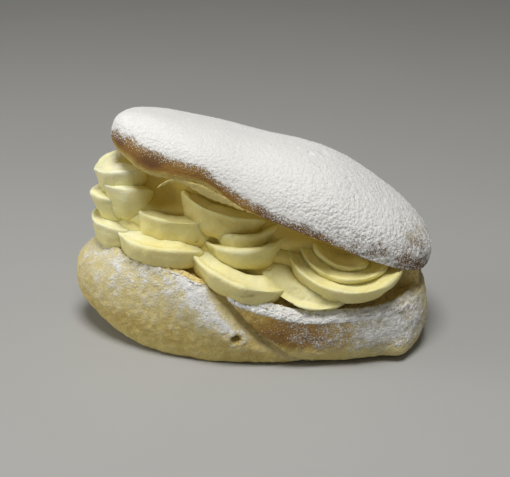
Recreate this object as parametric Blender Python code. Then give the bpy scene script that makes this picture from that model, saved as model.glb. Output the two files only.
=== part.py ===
"""Split cream bun: a bread base and a lid joined by a web of bread at one end, with piped cream between."""

import bmesh
import bpy
import numpy as np

# Lengths are in millimetres down to the ball function, which writes the meshes in metres.
MM = 0.001
GAP = 0.32

# Moves the whole bun so that its box stands centred on the origin.
TO_CENTRE = (0.8, -0.85, 0.0)

# A size that eases along the bun is given as: from x, to x, its value before and its value after.
# Plan of the base at its waist, and its side from the sole to the cut.
BASE_PLAN = dict(right=70.8, left=73.2, front=33.9, back=33.0, full_right=2.6, full_left=1.9)
BASE_WAIST = (-50, 60, 21.5, 14.0)
BASE_TOP = (0, 60, 52.0, 46.0)
BASE_FOOT = (-20, 20, 0.77, 0.91)
BASE_FRONT_FOOT = (-10, 45, 0.86, 0.70)
SIDE_CROWN, SIDE_UNDER, SIDE_RISE = 2.3, 0.85, 0.95
LIFT_ALONG, LIFT_UP = (-75, -40, 7.0, 0), (0, 21, 1, 0)

# Height of the cut face: high at the left, stepping down past the valley and again along the lip.
RIM_LEFT = 39.5
RIM_STEPS = ((-66, -44, 3.0, 0), (-32, -8, 0, -6.5), (-12, 24, 0, -8.0), (50, 70, 0, 2.5))
RIM_SHARE = 0.9
BEVEL, BEVEL_WIDTH = (-14, 2, 1.0, 2.5), 3.5
GUTTER, GUTTER_FROM, GUTTER_TO = 2.0, (3, 7), (8, 16)

# Crease across the front crust, from the cut down to the sole, with the relief beside it.
CREASE_TOP, CREASE_START = 33.0, -9.6
CREASE_SLOPE, CREASE_BEND = 0.64, 0.0135
VALLEY_DEPTH, VALLEY_WIDTH, VALLEY_UP = 5.2, 9.5, (0, 22, 0.15, 1)
LOBE_OUT, LOBE_HALF, LOBE_UP = 1.6, 13, (2, 18)
LIP_STEP, LIP_OUT, LIP_HALF, LIP_UP = 2.2, 0.8, 11, (0, 8)
LUMP_OUT, LUMP_AT, LUMP_HALF = 4.5, (62, 4), 10
RELIEF_FRONT = (8, 20)
FRONT_SIDE, FRONT_FULL, CREASE_REACH = (18.5, 50.0, 31.0, 0.8), 2.2, 0.9

# Lid: its own plan and height, and how it sits.
LID_PLAN = dict(right=68.1, left=65.7, front=35.3, back=34.0, full_right=2.35, full_left=3.3)
LID_HEIGHT, LID_THIN = 21.7, (-35, 0, -0.9, 0)
LID_SWELL, LID_SWELL_AT, LID_SWELL_HALF = 2.0, 15, 30
LID_CROWN = (-60, 0, 2.85, 2.45)
LID_WIDE, LID_TUCK = (-66, 10, 8.0, 0.4), (-66, 10, 0.93, 0.997)
LID_DIPS = ((2.4, -48), (-2.8, -24))
DIP_HALF, DIP_LEVEL, DIP_FRONT = 14, (0.75, 1, 1.4, 2.2), (5, 20)
LID_AT = (5.1, 3.0, 54.1)
LID_PITCH, LID_ROLL, LID_ROLL_PER_MM = 13.0, 9.0, -0.127
LID_FOLD_Y = 30.0
LID_DROOP = (20, 75, 0, 4.5)

# Web of bread that joins the lid to the base round the right end: shares of the two plans, and depths.
WEB_FROM, WEB_TO = -15.0, 66.0
WEB_OUTER, WEB_LID_INNER, WEB_BASE_INNER = 0.955, 0.74, 0.73
WEB_IN_LID, WEB_OUTER_DOWN, WEB_INNER_DOWN = 3.0, 5.5, 4.0
WEB_PINCH, WEB_TIP, WEB_BLUNT, WEB_EASE = 0.14, 0.13, 4, 0.4

# Each piped swirl: centre, lean to the front, lean to the side, first and last turn in degrees,
# first coil radius, its fall and its rise a turn, width and height of the ribbon, and how far its
# top fills up behind the crest.
SWIRLS = {
    "swirl_right": ((38.0, -9.5, 38.0), 22, 6, -205, 690, 18.4, 5.0, 1.6, 11.5, 9.5, 0.0),
    "swirl_tail": ((27.5, -11.0, 38.5), 42, 0, -184, -40, 17.2, 0.0, 0.0, 11.5, 9.0, 4.0),
    "swirl_middle": ((-1.3, -9.5, 41.0), 4, 0, -195, 560, 12.2, 3.2, 4.6, 10.5, 10.5, 0.0),
    "swirl_middle_foot": ((-1.5, -8.5, 34.6), 8, 15, -188, -40, 19.5, 0.0, 0.0, 12.5, 8.5, 5.0),
    "swirl_middle_top": ((-8.5, -3.0, 54.3), 0, 12, -184, -30, 15.8, 0.0, 0.0, 10.5, 12.0, 2.5),
    "swirl_left_low": ((-29.0, -1.5, 41.8), 2, 1, -170, -55, 20.2, 0.0, 0.0, 12.5, 9.5, 5.5),
    "swirl_left_band": ((-26.0, -3.5, 50.0), 0, 3, -172, 230, 15.8, 5.0, 0.6, 10.5, 11.5, 2.5),
    "swirl_left_foot": ((-51.0, -4.0, 43.0), 0, 0, 60, 320, 6.5, 0.0, 0.0, 12.0, 12.0, 4.0),
    "swirl_left_mid": ((-50.8, -2.5, 54.5), 0, -8, 60, 300, 6.0, 0.0, 0.0, 12.0, 15.0, 4.0),
    "swirl_left_star": ((-45.0, -5.0, 59.5), 0, -6, 130, 335, 6.5, 0.0, 0.0, 12.0, 15.0, 3.5),
    "swirl_left_top": ((-47.5, -2.0, 67.0), 0, -12, 60, 330, 7.0, 0.0, 0.0, 13.0, 11.0, 4.5),
}
RIBBON_FLARE, RIBBON_DISH, RIBBON_FULL = 1.2, 0.18, 2.5
CREST_AT, CREST_HALF, CREST_OUT, CREST_UP = 0.63, 0.6, 0.9, 1.3
TIP_LENGTH, TIP_POINT = 9.0, 0.4

# Body of the cream: shares of the plans of the base and the lid that it fills on each side.
CORE_BACK, CORE_FRONT_LOW, CORE_FRONT_HIGH, CORE_LEFT, CORE_RIGHT = 0.85, 0.62, 0.46, 0.80, 0.70
CORE_TURN, CORE_ENDS = (-0.1, 0.6), (0.6, 0.95)
CORE_WAVE, CORE_WAVE_AT, CORE_WAVE_HALF = 0.09, (-24, 20), 11
CORE_SINK, CORE_BULGE = 2.5, 0.05


def ease(x, low, high, before=0, after=1):
    """Smooth step of x, from before at low to after at high: 3 t squared less 2 t cubed."""
    t = np.clip((x - low) / (high - low), 0, 1)
    return before + (after - before) * t * t * (3 - 2 * t)


def hump(x, middle, half):
    """Smooth hump of x: 1 at the middle, 0 from half away on either side."""
    return ease(abs(x - middle), 0, half, 1, 0)


def signed_power(x, exponent):
    """Power of the size of x, with the sign of x."""
    return np.sign(x) * abs(x) ** exponent


def plan(turn, right, left, front, back, full_right, full_left):
    """Outline seen from above: a superellipse with unlike halves, fuller or more pointed at each end."""
    c, s = np.cos(turn), np.sin(turn)
    full = full_left + (full_right - full_left) * (1 + c) / 2
    k = (abs(c) ** full + abs(s) ** full) ** (-1 / full)
    return np.where(c > 0, right, left) * c * k, np.where(s > 0, back, front) * s * k


def rim_height(x):
    """Height of the cut face of the base along its length."""
    return RIM_LEFT + sum(ease(x, *step) for step in RIM_STEPS)


def crease_x(z):
    """Place of the crease along the bun at a height: a parabola."""
    down = CREASE_TOP - z
    return CREASE_START + CREASE_SLOPE * down + CREASE_BEND * down**2


def side_profile(level, waist, top, rim, foot):
    """Share of the plan, and height, of the side at a level from 1 at the sole to 2 at the rim:
    a rounded foot below the waist and a superellipse arc above it."""
    last = np.arcsin(np.clip((rim - waist) / (top - waist), 0, 1) ** (SIDE_CROWN / 2))
    rise = -np.pi / 2 + (level - 1) * (last + np.pi / 2)
    turned = abs(np.sin(rise))
    under = foot + (1 - foot) * abs(np.cos(rise)) ** SIDE_UNDER
    over = np.cos(np.maximum(rise, 0)) ** (2 / SIDE_CROWN)
    low = waist * (1 - turned**SIDE_RISE)
    high = waist + (top - waist) * turned ** (2 / SIDE_CROWN)
    return np.where(rise < 0, under, over), np.where(rise < 0, low, high)


def crust_relief(x, y, z):
    """How far the front crust stands out: a lobe at the left, a valley by the crease, a lip, a low lump."""
    along = x - crease_x(z)
    valley = np.where(along < 0, ease(along, -VALLEY_WIDTH, 0), ease(along, 0, LIP_STEP, 1, 0))
    valley = valley * VALLEY_DEPTH * ease(z, *VALLEY_UP)
    lobe = LOBE_OUT * hump(along, -VALLEY_WIDTH - LOBE_HALF / 2, LOBE_HALF) * ease(z, *LOBE_UP)
    lip = LIP_OUT * hump(along, LIP_STEP + LIP_HALF / 2, LIP_HALF) * ease(z, *LIP_UP)
    lump = LUMP_OUT * hump(x, LUMP_AT[0], LUMP_HALF) * hump(z, LUMP_AT[1], LUMP_HALF)
    return (lobe + lip + lump - valley) * ease(-y, *RELIEF_FRONT)


def follow_crease(turn, level):
    """Turns the front meridians with the level, so that one of them runs along the crease."""
    out, up = side_profile(np.clip(level, 1, 2), *FRONT_SIDE)
    share = np.clip(crease_x(up) / (BASE_PLAN["right"] * out), -CREASE_REACH, CREASE_REACH)
    wanted = -np.arctan2((1 - abs(share) ** FRONT_FULL) ** (1 / FRONT_FULL), share)
    front = np.minimum(np.sin(turn), 0) ** 2
    return turn + (wanted + np.pi / 2) * front


def base_surface(turn, level):
    """Base at a turn round it and a level: 0 sole centre, 1 sole edge, 2 rim, 3 centre of the cut face."""
    turn = follow_crease(turn, level)
    px, py = plan(turn, **BASE_PLAN)
    waist, top = ease(px, *BASE_WAIST), ease(px, *BASE_TOP)
    rim = rim_height(RIM_SHARE * px) - ease(RIM_SHARE * px, *BEVEL)
    side = np.clip(level, 1, 2)
    out, up = side_profile(side, waist, top, rim, ease(px, *BASE_FOOT))
    out_front, up = side_profile(side, waist, top, rim, ease(px, *BASE_FRONT_FOOT))
    x, y = px * out, py * out_front
    y = y - crust_relief(x, y, up)
    inward = np.clip(level - 2, 0, 1)
    depth = inward * np.hypot(x, y)
    x, y = x * (1 - inward), y * (1 - inward)
    edge = ease(x, *BEVEL) * ease(depth, 0, BEVEL_WIDTH, 1, 0)
    gutter = GUTTER * ease(depth, *GUTTER_FROM) * ease(depth, *GUTTER_TO, 1, 0)
    cut = rim_height(x) - edge - gutter
    share = np.clip(level, 0, 1)
    x, y = x * share, y * share
    z = np.where(level <= 1, 0, np.where(level <= 2, up, cut))
    return x, y, z + ease(x, *LIFT_ALONG) * ease(z, *LIFT_UP)


def place_lid(x, y, z):
    """Moves a point of the lid to its place: drooped at the right, rolled open at the left, pitched."""
    z = z - ease(x, *LID_DROOP)
    roll = np.radians(LID_ROLL + LID_ROLL_PER_MM * x)
    pitch = np.radians(LID_PITCH)
    y, z = (
        LID_FOLD_Y + (y - LID_FOLD_Y) * np.cos(roll) + z * np.sin(roll),
        z * np.cos(roll) - (y - LID_FOLD_Y) * np.sin(roll),
    )
    x, z = x * np.cos(pitch) + z * np.sin(pitch), z * np.cos(pitch) - x * np.sin(pitch)
    return x + LID_AT[0], y + LID_AT[1], z + LID_AT[2]


def lid_surface(turn, level):
    """Lid at a turn round it and a level: 0 underside centre, 1 cut edge, 1.5 widest line, 3 top."""
    px, py = plan(turn, **LID_PLAN)
    wide, tuck, crown = ease(px, *LID_WIDE), ease(px, *LID_TUCK), ease(px, *LID_CROWN)
    lower = np.clip((level - 1) * 2, 0, 1) * np.pi / 2
    upper = np.clip((level - 1.5) / 1.5, 0, 1) * np.pi / 2
    out = np.where(level <= 1.5, tuck + (1 - tuck) * np.sin(lower), abs(np.cos(upper)) ** (2 / crown))
    height = LID_HEIGHT + ease(px * out, *LID_THIN) + LID_SWELL * hump(px * out, LID_SWELL_AT, LID_SWELL_HALF)
    domed = wide + (height - wide) * np.sin(upper) ** (2 / crown)
    up = np.where(level <= 1.5, wide * (1 - np.cos(lower)), domed)
    out = np.where(level <= 1, tuck * level, out)
    x, y = px * out, py * out
    near_edge = ease(level, *DIP_LEVEL[:2]) * ease(level, *DIP_LEVEL[2:], 1, 0) * ease(-y, *DIP_FRONT)
    dips = sum(depth * hump(x, at, DIP_HALF) for depth, at in LID_DIPS)
    return place_lid(x, y, up - dips * near_edge)


def web_surface(turn, level):
    """Web at a turn round its section and a level along it: its corners lie inside the base and the lid."""
    at = np.radians(WEB_FROM + (WEB_TO - WEB_FROM) * level)
    bx, by = plan(at, **BASE_PLAN)
    lx, ly = plan(at, **LID_PLAN)
    rim = rim_height(RIM_SHARE * bx)
    in_lid = np.full_like(lx, WEB_IN_LID)
    corners = np.array([
        (WEB_OUTER * bx, WEB_OUTER * by, rim - WEB_OUTER_DOWN),
        place_lid(WEB_OUTER * lx, WEB_OUTER * ly, in_lid),
        place_lid(WEB_LID_INNER * lx, WEB_LID_INNER * ly, in_lid),
        (WEB_BASE_INNER * bx, WEB_BASE_INNER * by, rim - WEB_INNER_DOWN),
    ])
    side = (turn / (2 * np.pi) % 1) * 4
    first = np.floor(side).astype(int) % 4
    part = side - np.floor(side)
    part = part + (ease(part, 0, 1) - part) * WEB_EASE
    pick = np.arange(corners.shape[2])
    start = corners[first, :, pick].T
    end = corners[(first + 1) % 4, :, pick].T
    point = start + (end - start) * part
    middle = corners.mean(axis=0)
    pinch = np.where(first == 0, WEB_PINCH * np.sin(np.pi * part), 0)
    shrink = np.clip(np.minimum(WEB_BLUNT * level, 1 - level) / WEB_TIP, 0, 1) ** 0.5
    return tuple(middle + (point - middle) * (1 - pinch) * shrink)


def swirl_surface(shape, turn, level):
    """Coiled ribbon at a turn round its section and a level along it, closing in and rising as it goes.
    The section is a superellipse with a raised outer crest, its top dished inward, drawn to pointed ends."""
    centre, lean, side, first, last, radius, fall, rise, width, height, fill = shape
    lean, side = np.radians(lean), np.radians(side)
    across = np.array([np.cos(side), 0, -np.sin(side)])
    back = np.array([0, np.cos(lean), np.sin(lean)])
    axis = np.cross(across, back)
    angle = np.radians(first + (last - first) * level)
    coils = (angle - np.radians(first)) / (2 * np.pi)
    crest = hump(turn, CREST_AT, CREST_HALF)
    out = signed_power(np.cos(turn), 2 / RIBBON_FULL) * width / 2 + CREST_OUT * crest
    up = signed_power(np.sin(turn), 2 / RIBBON_FULL) * height / 2 + CREST_UP * crest
    out = out + RIBBON_FLARE * np.sin(turn)
    up = up + RIBBON_DISH * out * (1 + np.sin(turn))
    up = up + fill * ease(-out, -width / 2, width / 2) * np.clip(np.sin(turn), 0, 1)
    length = np.radians(last - first) * radius
    taper = np.clip(np.minimum(level, 1 - level) * length / TIP_LENGTH, 0, 1) ** TIP_POINT
    radial = radius - fall * coils + out * taper
    axial = rise * coils + up * taper
    ways = across[:, None] * np.cos(angle) + back[:, None] * np.sin(angle)
    return tuple(np.array(centre)[:, None] + ways * radial + axis[:, None] * axial)


def core_share(turn, front):
    """Share of a plan that the cream fills at a turn, given its share at the front."""
    share = ease(-np.sin(turn), *CORE_TURN, CORE_BACK, front)
    share = share + (CORE_RIGHT - share) * ease(np.cos(turn), *CORE_ENDS)
    share = share + (CORE_LEFT - share) * ease(-np.cos(turn), *CORE_ENDS)
    waves = sum(hump(BASE_PLAN["right"] * np.cos(turn), at, CORE_WAVE_HALF) for at in CORE_WAVE_AT)
    return share - CORE_WAVE * waves * ease(-np.sin(turn), *CORE_TURN, 1, 0)


def core_surface(turn, level):
    """Body of the cream at a turn and a level: 0 underside centre, 1 its edge, 2 upper edge, 3 top centre."""
    bx, by = plan(turn, **BASE_PLAN)
    lx, ly = plan(turn, **LID_PLAN)
    lower = np.clip(level, 0, 1) * core_share(turn, CORE_FRONT_LOW)
    upper = np.clip(3 - level, 0, 1) * core_share(turn, CORE_FRONT_HIGH)
    low = np.array([bx * lower, by * lower, rim_height(bx * lower) - CORE_SINK])
    high = np.array(place_lid(lx * upper, ly * upper, np.full_like(lx, CORE_SINK)))
    part = np.clip(level - 1, 0, 1)
    point = low + (high - low) * part
    bulge = 1 + CORE_BULGE * np.sin(np.pi * part)
    return point[0] * bulge, point[1] * bulge, point[2]


def even(turn):
    """Leaves the meridians evenly spread."""
    return turn


def near_front(turn):
    """Gathers the meridians towards the front of the bun."""
    return -np.pi / 2 + turn - 0.42 * np.sin(turn)


def ball(name, segments, levels, surface, spread=even, swell=0.0):
    """Closed mesh: a ball whose rings are moved to the levels of a surface; swell grows it all round."""
    work = bmesh.new()
    rings = len(levels) - 1
    bmesh.ops.create_uvsphere(work, u_segments=segments, v_segments=rings, radius=1)
    work.verts.ensure_lookup_table()
    points = np.array([v.co for v in work.verts])
    ring = np.rint((np.arcsin(np.clip(points[:, 2], -1, 1)) / np.pi + 0.5) * rings).astype(int)
    turn = spread(np.arctan2(points[:, 1], points[:, 0]))
    places = np.array(surface(turn, np.array(levels, float)[ring])).T
    for end in (0, rings):
        places[ring == end] = places[ring == end].mean(axis=0)
    for vert, place in zip(work.verts, places):
        vert.co = (place + TO_CENTRE) * MM
    bmesh.ops.triangulate(work, faces=work.faces)
    work.normal_update()
    if work.calc_volume(signed=True) < 0:
        bmesh.ops.reverse_faces(work, faces=work.faces)
        work.normal_update()
    if swell:
        normals = [vert.normal.copy() for vert in work.verts]
        for vert, normal in zip(work.verts, normals):
            vert.co += normal * swell * MM
    mesh = bpy.data.meshes.new(name)
    work.to_mesh(mesh)
    work.free()
    return bpy.data.objects.new(name, mesh)


def combine(target, others, operation):
    """Joins the others to the target, or cuts them from it, in one Boolean that is applied."""
    helpers = bpy.data.collections.new("joined_pieces")
    for other in others:
        helpers.objects.link(other)
    bpy.context.scene.collection.children.link(helpers)
    boolean = target.modifiers.new("combine", "BOOLEAN")
    boolean.operand_type = "COLLECTION"
    boolean.collection = helpers
    boolean.operation = operation
    boolean.solver = "MANIFOLD"
    bpy.context.view_layer.update()
    graph = bpy.context.evaluated_depsgraph_get()
    result = bpy.data.meshes.new_from_object(target.evaluated_get(graph))
    plain = target.data
    target.modifiers.clear()
    target.data = result
    bpy.data.meshes.remove(plain)
    for other in others:
        bpy.data.objects.remove(other)
    bpy.data.collections.remove(helpers)


def keep_body(node):
    """Keeps the largest closed shell of a node, so sealed hollows are filled and loose scraps dropped."""
    work = bmesh.new()
    work.from_mesh(node.data)
    unseen = set(work.verts)
    shells = []
    while unseen:
        shell = [unseen.pop()]
        for vert in shell:
            linked = {edge.other_vert(vert) for edge in vert.link_edges} & unseen
            unseen -= linked
            shell.extend(linked)
        shells.append(shell)
    shells.sort(key=len)
    bmesh.ops.delete(work, geom=[vert for shell in shells[:-1] for vert in shell], context="VERTS")
    work.to_mesh(node.data)
    work.free()


def finish(node, colour, roughness):
    """Shades a node smooth and gives it a material of its own."""
    material = bpy.data.materials.new(node.name)
    material.use_nodes = True
    shader = material.node_tree.nodes["Principled BSDF"]
    shader.inputs["Base Color"].default_value = (*colour, 1)
    shader.inputs["Roughness"].default_value = roughness
    shader.inputs["Metallic"].default_value = 0
    node.data.materials.clear()
    node.data.materials.append(material)
    node.data.polygons.foreach_set("use_smooth", [True] * len(node.data.polygons))


# Levels of the rings, and how many meridians or sides each form has.
BASE_LEVELS = [0, 0.5, 0.92, 1, 1.1, 1.22, 1.36, 1.5, 1.64, 1.76, 1.87, 1.95]
BASE_LEVELS += [2, 2.04, 2.09, 2.16, 2.26, 2.45, 2.72, 3]
LID_LEVELS = [0, 0.5, 0.8, 0.93, 1, 1.1, 1.25, 1.5, 1.68, 1.86, 2.04, 2.22, 2.4, 2.58, 2.78, 3]
WEB_LEVELS = [0, 0.01, 0.03, 0.06, 0.13, 0.22, 0.32, 0.43, 0.55, 0.67, 0.78, 0.87, 0.94, 0.97, 0.99, 1]
CORE_LEVELS = [0, 0.5, 0.9, 1, 1.25, 1.5, 1.75, 2, 2.1, 2.5, 3]
BASE_MERIDIANS, LID_MERIDIANS, WEB_SIDES, CORE_MERIDIANS = 88, 72, 16, 44
RIBBON_SIDES, RIBBON_STEP = 10, 14.0


def bread_piece(name, swell=0.0):
    """One of the three bread forms, plain or swollen."""
    if name == "base":
        return ball(name, BASE_MERIDIANS, BASE_LEVELS, base_surface, near_front, swell)
    if name == "lid":
        return ball(name, LID_MERIDIANS, LID_LEVELS, lid_surface, even, swell)
    return ball(name, WEB_SIDES, WEB_LEVELS, web_surface, even, swell)


def swirl_piece(name):
    """One coiled ribbon of cream, with about the same step along it on every coil."""
    shape = SWIRLS[name]
    steps = round((shape[4] - shape[3]) / RIBBON_STEP)
    levels = [0, 0.004, *np.linspace(0.02, 0.98, steps), 0.996, 1]
    return ball(name, RIBBON_SIDES, levels, lambda turn, level: swirl_surface(shape, turn, level))


def main():
    """Builds the bread and the cream."""
    for old in list(bpy.data.objects):
        bpy.data.objects.remove(old)
    parts = bpy.data.collections.new("cream_bun")
    bpy.context.scene.collection.children.link(parts)

    bun = bread_piece("base")
    bun.name = "bun"
    parts.objects.link(bun)
    combine(bun, [bread_piece("lid"), bread_piece("web")], "UNION")

    cream = ball("cream", CORE_MERIDIANS, CORE_LEVELS, core_surface)
    parts.objects.link(cream)
    combine(cream, [swirl_piece(name) for name in SWIRLS], "UNION")
    combine(cream, [bread_piece(name, GAP) for name in ("base", "lid", "web")], "DIFFERENCE")

    keep_body(bun)
    keep_body(cream)
    finish(bun, (0.62, 0.42, 0.19), 0.7)
    finish(cream, (0.86, 0.76, 0.42), 0.45)


main()
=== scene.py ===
"""Split cream bun: crust, torn crumb, piped cream and fine sugar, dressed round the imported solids."""
import math

import bpy
import numpy as np
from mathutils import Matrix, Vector


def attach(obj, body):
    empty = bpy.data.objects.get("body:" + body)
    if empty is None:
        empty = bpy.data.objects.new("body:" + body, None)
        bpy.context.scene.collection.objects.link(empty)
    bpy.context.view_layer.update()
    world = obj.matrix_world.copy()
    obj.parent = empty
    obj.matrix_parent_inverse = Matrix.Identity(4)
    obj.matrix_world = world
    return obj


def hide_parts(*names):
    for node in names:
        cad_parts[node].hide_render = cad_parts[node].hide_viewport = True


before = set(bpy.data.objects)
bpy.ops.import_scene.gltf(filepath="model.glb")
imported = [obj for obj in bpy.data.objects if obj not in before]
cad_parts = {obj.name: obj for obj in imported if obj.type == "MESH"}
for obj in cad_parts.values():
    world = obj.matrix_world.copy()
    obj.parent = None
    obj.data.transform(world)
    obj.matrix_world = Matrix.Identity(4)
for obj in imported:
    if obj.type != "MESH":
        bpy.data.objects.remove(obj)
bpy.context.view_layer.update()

# Lengths are in millimetres until a mesh is written. The forms and their sizes are those of the solids.
MM = 0.001
TO_CENTRE = np.array([0.8, -0.85, 0.0])

# A size that eases along the bun is given as: from x, to x, its value before and its value after.
# Plan of the base at its waist, and its side from the sole to the cut.
BASE_PLAN = dict(right=70.8, left=73.2, front=33.9, back=33.0, full_right=2.6, full_left=1.9)
BASE_WAIST = (-50, 60, 21.5, 14.0)
BASE_TOP = (0, 60, 52.0, 46.0)
BASE_FOOT = (-20, 20, 0.77, 0.91)
BASE_FRONT_FOOT = (-10, 45, 0.86, 0.70)
SIDE_CROWN, SIDE_UNDER, SIDE_RISE = 2.3, 0.85, 0.95
LIFT_ALONG, LIFT_UP = (-75, -40, 7.0, 0), (0, 21, 1, 0)

# Height of the cut face: high at the left, stepping down past the valley and again along the lip.
RIM_LEFT = 39.5
RIM_STEPS = ((-66, -44, 3.0, 0), (-32, -8, 0, -6.5), (-12, 24, 0, -8.0), (50, 70, 0, 2.5))
RIM_SHARE = 0.9
BEVEL, BEVEL_WIDTH = (-14, 2, 1.0, 2.5), 3.5
GUTTER, GUTTER_FROM, GUTTER_TO = 2.0, (3, 7), (8, 16)

# Crease across the front crust, from the cut down to the sole, with the relief beside it.
CREASE_TOP, CREASE_START = 33.0, -9.6
CREASE_SLOPE, CREASE_BEND = 0.64, 0.0135
VALLEY_DEPTH, VALLEY_WIDTH, VALLEY_UP = 5.2, 9.5, (0, 22, 0.15, 1)
LOBE_OUT, LOBE_HALF, LOBE_UP = 1.6, 13, (2, 18)
LIP_STEP, LIP_OUT, LIP_HALF, LIP_UP = 2.2, 0.8, 11, (0, 8)
LUMP_OUT, LUMP_AT, LUMP_HALF = 4.5, (62, 4), 10
RELIEF_FRONT = (8, 20)
FRONT_SIDE, FRONT_FULL, CREASE_REACH = (18.5, 50.0, 31.0, 0.8), 2.2, 0.9

# Lid: its own plan and height, and how it sits.
LID_PLAN = dict(right=68.1, left=65.7, front=35.3, back=34.0, full_right=2.35, full_left=3.3)
LID_HEIGHT, LID_THIN = 21.7, (-35, 0, -0.9, 0)
LID_SWELL, LID_SWELL_AT, LID_SWELL_HALF = 2.0, 15, 30
LID_CROWN = (-60, 0, 2.85, 2.45)
LID_WIDE, LID_TUCK = (-66, 10, 8.0, 0.4), (-66, 10, 0.93, 0.997)
LID_DIPS = ((2.4, -48), (-2.8, -24))
DIP_HALF, DIP_LEVEL, DIP_FRONT = 14, (0.75, 1, 1.4, 2.2), (5, 20)
LID_AT = (5.1, 3.0, 54.1)
LID_PITCH, LID_ROLL, LID_ROLL_PER_MM = 13.0, 9.0, -0.127
LID_FOLD_Y = 30.0
LID_DROOP = (20, 75, 0, 4.5)

# Web of bread that joins the lid to the base round the right end: shares of the two plans, and depths.
WEB_FROM, WEB_TO = -15.0, 66.0
WEB_OUTER, WEB_LID_INNER, WEB_BASE_INNER = 0.955, 0.74, 0.73
WEB_IN_LID, WEB_OUTER_DOWN, WEB_INNER_DOWN = 3.0, 5.5, 4.0
WEB_PINCH, WEB_TIP, WEB_BLUNT, WEB_EASE = 0.14, 0.13, 4, 0.4

# Each piped swirl: centre, lean to the front, lean to the side, first and last turn in degrees,
# first coil radius, its fall and its rise a turn, width and height of the ribbon, and how far its
# top fills up behind the crest.
SWIRLS = {
    "swirl_right": ((38.0, -9.5, 38.0), 22, 6, -205, 690, 18.4, 5.0, 1.6, 11.5, 9.5, 0.0),
    "swirl_tail": ((27.5, -11.0, 38.5), 42, 0, -184, -40, 17.2, 0.0, 0.0, 11.5, 9.0, 4.0),
    "swirl_middle": ((-1.3, -9.5, 41.0), 4, 0, -195, 560, 12.2, 3.2, 4.6, 10.5, 10.5, 0.0),
    "swirl_middle_foot": ((-1.5, -8.5, 34.6), 8, 15, -188, -40, 19.5, 0.0, 0.0, 12.5, 8.5, 5.0),
    "swirl_middle_top": ((-8.5, -3.0, 54.3), 0, 12, -184, -30, 15.8, 0.0, 0.0, 10.5, 12.0, 2.5),
    "swirl_left_low": ((-29.0, -1.5, 41.8), 2, 1, -170, -55, 20.2, 0.0, 0.0, 12.5, 9.5, 5.5),
    "swirl_left_band": ((-26.0, -3.5, 50.0), 0, 3, -172, 230, 15.8, 5.0, 0.6, 10.5, 11.5, 2.5),
    "swirl_left_foot": ((-51.0, -4.0, 43.0), 0, 0, 60, 320, 6.5, 0.0, 0.0, 12.0, 12.0, 4.0),
    "swirl_left_mid": ((-50.8, -2.5, 54.5), 0, -8, 60, 300, 6.0, 0.0, 0.0, 12.0, 15.0, 4.0),
    "swirl_left_star": ((-45.0, -5.0, 59.5), 0, -6, 130, 335, 6.5, 0.0, 0.0, 12.0, 15.0, 3.5),
    "swirl_left_top": ((-47.5, -2.0, 67.0), 0, -12, 60, 330, 7.0, 0.0, 0.0, 13.0, 11.0, 4.5),
}
RIBBON_FLARE, RIBBON_DISH, RIBBON_FULL = 1.2, 0.18, 2.5
CREST_AT, CREST_HALF, CREST_OUT, CREST_UP = 0.63, 0.6, 0.9, 1.3
TIP_LENGTH, TIP_POINT = 9.0, 0.4

# Body of the cream: shares of the plans of the base and the lid that it fills on each side.
CORE_BACK, CORE_FRONT_LOW, CORE_FRONT_HIGH, CORE_LEFT, CORE_RIGHT = 0.85, 0.62, 0.46, 0.80, 0.70
CORE_TURN, CORE_ENDS = (-0.1, 0.6), (0.6, 0.95)
CORE_WAVE, CORE_WAVE_AT, CORE_WAVE_HALF = 0.09, (-24, 20), 11
CORE_SINK, CORE_BULGE = 2.5, 0.05

# Small features seen on the crust and in the cut, in the same millimetres.
HOLE_AT, HOLE_RADIUS, HOLE_DEPTH = (-3.0, 13.3), 2.3, 3.4
FLECK_AT, FLECK_SIZE = np.array([65.0, -20.0, 17.7]), np.array([2.6, 3.0, 3.4])
DIMPLE_AT, DIMPLE_RADIUS, DIMPLE_DEPTH = (22.7, -2.0), 1.6, 0.8
KINK_AT, KINK_RADIUS, KINK_DEPTH = (27.0, 5.0), 5.0, 0.5
FLAP_FROM, FLAP_TO, FLAP_TOP, FLAP_Y, FLAP_Z = -33.0, 0.0, -26.0, -27.2, 76.6
FLAP_CURL, FLAP_FALL, FLAP_THICK = 0.08, 0.0145, 0.5
FLAP_TIP, FLAP_WIDE, FLAP_MIDDLE, FLAP_HALF = 1.3, 3.0, -13.0, 13.0
POCKET_X, POCKET_Z, POCKET_DEPTH = (-34, 13), (67, 12), 5.5
BULGE_X, BULGE_Z, BULGE_OUT, CORE_FORWARD = (-43, 8), (60, 12), 1.5, 1.5

# Unevenness of the surfaces. Each is: size of its lumps, seed, layers of finer lumps, and its depth.
LID_GRAIN, LID_WAVES = (1.5, 3, 2, 1), (14, 9, 2, 0.3)
LID_TORN, LID_RAGGED = (1.6, 21, 3, 0.35), (5, 23, 2, 0.35)
BASE_WAVES, BASE_PUCKERS, BASE_TORN = (13, 31, 2, 0.4), (2.2, 35, 3, 1), (1.6, 37, 3, 0.5)
MOTTLE_WIDE, MOTTLE_FINE = (4.0, 41, 3, 0.1), (2.2, 35, 3, 0.16)
SUGAR_WANDER, CREASE_WANDER = (6, 5, 3, 0.03), (6, 47, 3, 1.2)
WEB_TORN, FLAP_CREASES = (3.0, 51, 3, 0.5), (2.5, 55, 2, 0.12)
CORE_WAVES = (10, 61, 2, 0.7)

# Pits: how deep they go, and the noise at which they begin and at which they are deepest.
PIT_DEPTH, PIT_SHARE = 0.9, (0.72, 0.95)

# Waves along the ribbons: size, layers and depth. The seed goes up by one from ribbon to ribbon.
RIBBON_WAVES, RIBBON_SEED = (9, 3, 0.9), 71

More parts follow.
